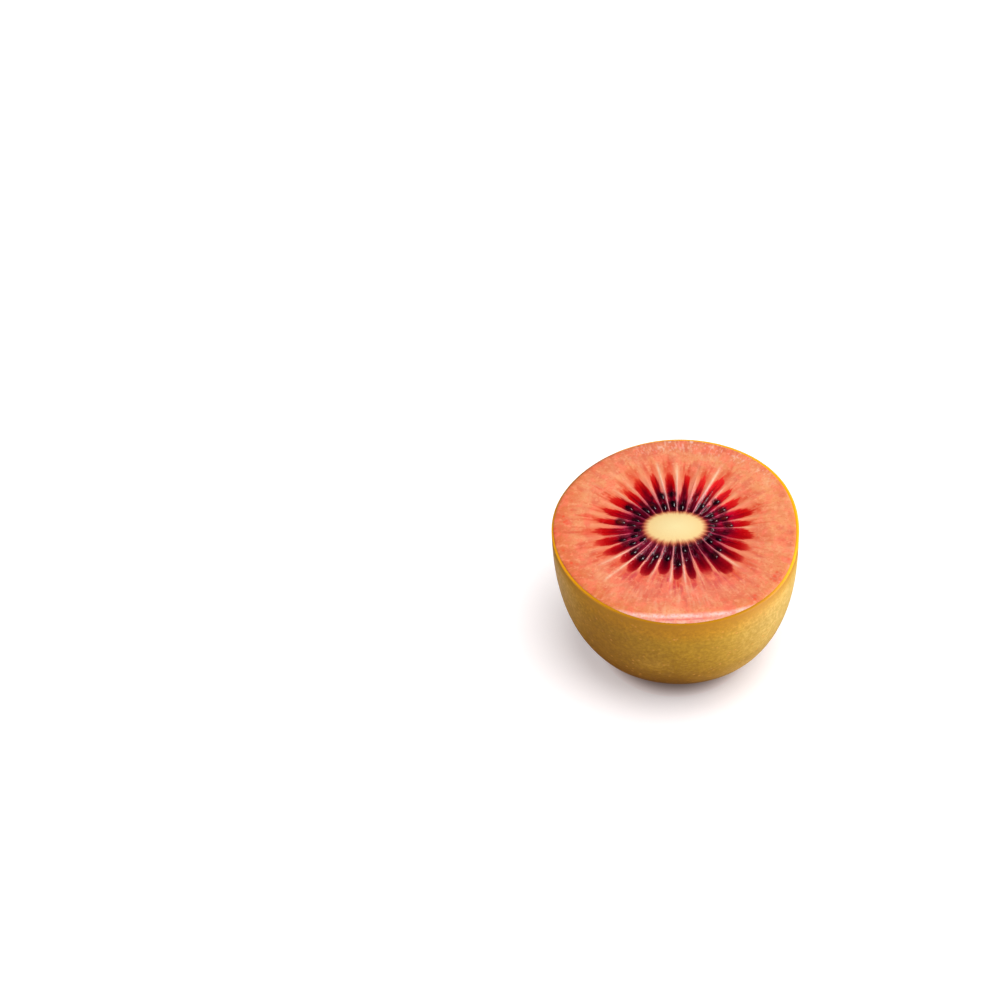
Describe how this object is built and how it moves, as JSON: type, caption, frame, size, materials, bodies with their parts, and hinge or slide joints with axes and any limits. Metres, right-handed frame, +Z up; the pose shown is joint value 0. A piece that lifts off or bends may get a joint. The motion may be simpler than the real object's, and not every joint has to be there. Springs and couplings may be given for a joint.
{
  "type": "kiwi fruit half",
  "caption": "Half of a red-fleshed kiwi fruit, cut across, with a pale oval core, dark red rays, small black seeds and smooth golden-brown skin, standing on its corky end.",
  "frame": {"origin": "on the flat foot, under the middle of the fruit's box", "axes": "+Z up, the cut face's normal; +X along the core's long side; -Y is the front with the bevelled rim"},
  "size_m": [0.0478, 0.0478, 0.0336],
  "materials": {
    "flesh": "wet cut fruit flesh, salmon with dark red rays",
    "skin": "smooth thin fruit skin, golden olive-brown with small tan dots",
    "seed": "small wet black seeds",
    "cork": "dry corky stalk scar"
  },
  "bodies": {
    "root": {"kiwi_half": "flesh"}
  },
  "joints": []
}
